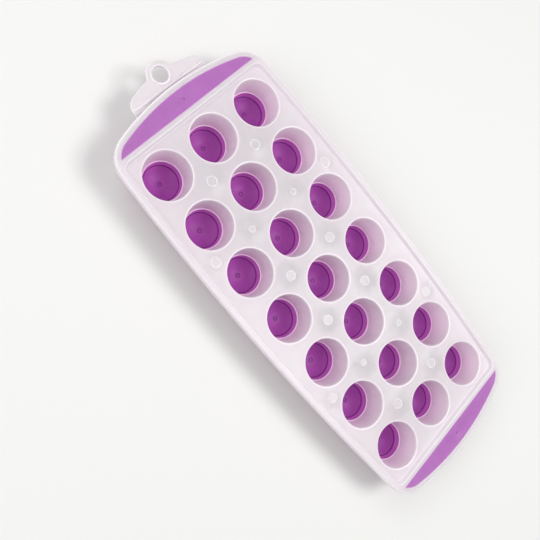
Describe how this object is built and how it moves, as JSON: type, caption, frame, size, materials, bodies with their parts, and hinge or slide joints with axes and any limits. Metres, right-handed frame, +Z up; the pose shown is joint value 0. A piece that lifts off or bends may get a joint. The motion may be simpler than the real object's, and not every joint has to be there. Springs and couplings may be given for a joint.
{
  "type": "baby food freezer tray",
  "caption": "Milky hard plastic freezer tray with round cells whose soft purple bottoms push up, soft grip pads and a hanging tab.",
  "frame": {"origin": "under the middle cell, on the surface that the soft crowns stand on", "axes": "+Z up through the open cells, X along the tray with the hanging tab at -X, Y across the three columns"},
  "size_m": [0.2979, 0.1194, 0.0259],
  "materials": {
    "milky_polypropylene": "satin",
    "purple_elastomer": "satin"
  },
  "bodies": {
    "frame": {"tray_frame": "milky_polypropylene", "grip_pad_tab_end": "purple_elastomer", "grip_pad_far_end": "purple_elastomer"},
    "cup_a1": {"soft_cup_a1": "purple_elastomer"},
    "cup_a2": {"soft_cup_a2": "purple_elastomer"},
    "cup_a3": {"soft_cup_a3": "purple_elastomer"},
    "cup_a4": {"soft_cup_a4": "purple_elastomer"},
    "cup_a5": {"soft_cup_a5": "purple_elastomer"},
    "cup_a6": {"soft_cup_a6": "purple_elastomer"},
    "cup_a7": {"soft_cup_a7": "purple_elastomer"},
    "cup_b1": {"soft_cup_b1": "purple_elastomer"},
    "cup_b2": {"soft_cup_b2": "purple_elastomer"},
    "cup_b3": {"soft_cup_b3": "purple_elastomer"},
    "cup_b4": {"soft_cup_b4": "purple_elastomer"},
    "cup_b5": {"soft_cup_b5": "purple_elastomer"},
    "cup_b6": {"soft_cup_b6": "purple_elastomer"},
    "cup_b7": {"soft_cup_b7": "purple_elastomer"},
    "cup_c1": {"soft_cup_c1": "purple_elastomer"},
    "cup_c2": {"soft_cup_c2": "purple_elastomer"},
    "cup_c3": {"soft_cup_c3": "purple_elastomer"},
    "cup_c4": {"soft_cup_c4": "purple_elastomer"},
    "cup_c5": {"soft_cup_c5": "purple_elastomer"},
    "cup_c6": {"soft_cup_c6": "purple_elastomer"},
    "cup_c7": {"soft_cup_c7": "purple_elastomer"}
  },
  "joints": [
    {"name": "push_a1", "type": "slide", "parent": "frame", "child": "cup_a1", "axis": [0, 0, 1], "range_m": [0, 0.008], "stiffness_N_per_m": 300, "deforming": ["soft_cup_a1"]},
    {"name": "push_a2", "type": "slide", "parent": "frame", "child": "cup_a2", "axis": [0, 0, 1], "range_m": [0, 0.008], "stiffness_N_per_m": 300, "deforming": ["soft_cup_a2"]},
    {"name": "push_a3", "type": "slide", "parent": "frame", "child": "cup_a3", "axis": [0, 0, 1], "range_m": [0, 0.008], "stiffness_N_per_m": 300, "deforming": ["soft_cup_a3"]},
    {"name": "push_a4", "type": "slide", "parent": "frame", "child": "cup_a4", "axis": [0, 0, 1], "range_m": [0, 0.008], "stiffness_N_per_m": 300, "deforming": ["soft_cup_a4"]},
    {"name": "push_a5", "type": "slide", "parent": "frame", "child": "cup_a5", "axis": [0, 0, 1], "range_m": [0, 0.008], "stiffness_N_per_m": 300, "deforming": ["soft_cup_a5"]},
    {"name": "push_a6", "type": "slide", "parent": "frame", "child": "cup_a6", "axis": [0, 0, 1], "range_m": [0, 0.008], "stiffness_N_per_m": 300, "deforming": ["soft_cup_a6"]},
    {"name": "push_a7", "type": "slide", "parent": "frame", "child": "cup_a7", "axis": [0, 0, 1], "range_m": [0, 0.008], "stiffness_N_per_m": 300, "deforming": ["soft_cup_a7"]},
    {"name": "push_b1", "type": "slide", "parent": "frame", "child": "cup_b1", "axis": [0, 0, 1], "range_m": [0, 0.008], "stiffness_N_per_m": 300, "deforming": ["soft_cup_b1"]},
    {"name": "push_b2", "type": "slide", "parent": "frame", "child": "cup_b2", "axis": [0, 0, 1], "range_m": [0, 0.008], "stiffness_N_per_m": 300, "deforming": ["soft_cup_b2"]},
    {"name": "push_b3", "type": "slide", "parent": "frame", "child": "cup_b3", "axis": [0, 0, 1], "range_m": [0, 0.008], "stiffness_N_per_m": 300, "deforming": ["soft_cup_b3"]},
    {"name": "push_b4", "type": "slide", "parent": "frame", "child": "cup_b4", "axis": [0, 0, 1], "range_m": [0, 0.008], "stiffness_N_per_m": 300, "deforming": ["soft_cup_b4"]},
    {"name": "push_b5", "type": "slide", "parent": "frame", "child": "cup_b5", "axis": [0, 0, 1], "range_m": [0, 0.008], "stiffness_N_per_m": 300, "deforming": ["soft_cup_b5"]},
    {"name": "push_b6", "type": "slide", "parent": "frame", "child": "cup_b6", "axis": [0, 0, 1], "range_m": [0, 0.008], "stiffness_N_per_m": 300, "deforming": ["soft_cup_b6"]},
    {"name": "push_b7", "type": "slide", "parent": "frame", "child": "cup_b7", "axis": [0, 0, 1], "range_m": [0, 0.008], "stiffness_N_per_m": 300, "deforming": ["soft_cup_b7"]},
    {"name": "push_c1", "type": "slide", "parent": "frame", "child": "cup_c1", "axis": [0, 0, 1], "range_m": [0, 0.008], "stiffness_N_per_m": 300, "deforming": ["soft_cup_c1"]},
    {"name": "push_c2", "type": "slide", "parent": "frame", "child": "cup_c2", "axis": [0, 0, 1], "range_m": [0, 0.008], "stiffness_N_per_m": 300, "deforming": ["soft_cup_c2"]},
    {"name": "push_c3", "type": "slide", "parent": "frame", "child": "cup_c3", "axis": [0, 0, 1], "range_m": [0, 0.008], "stiffness_N_per_m": 300, "deforming": ["soft_cup_c3"]},
    {"name": "push_c4", "type": "slide", "parent": "frame", "child": "cup_c4", "axis": [0, 0, 1], "range_m": [0, 0.008], "stiffness_N_per_m": 300, "deforming": ["soft_cup_c4"]},
    {"name": "push_c5", "type": "slide", "parent": "frame", "child": "cup_c5", "axis": [0, 0, 1], "range_m": [0, 0.008], "stiffness_N_per_m": 300, "deforming": ["soft_cup_c5"]},
    {"name": "push_c6", "type": "slide", "parent": "frame", "child": "cup_c6", "axis": [0, 0, 1], "range_m": [0, 0.008], "stiffness_N_per_m": 300, "deforming": ["soft_cup_c6"]},
    {"name": "push_c7", "type": "slide", "parent": "frame", "child": "cup_c7", "axis": [0, 0, 1], "range_m": [0, 0.008], "stiffness_N_per_m": 300, "deforming": ["soft_cup_c7"]}
  ]
}
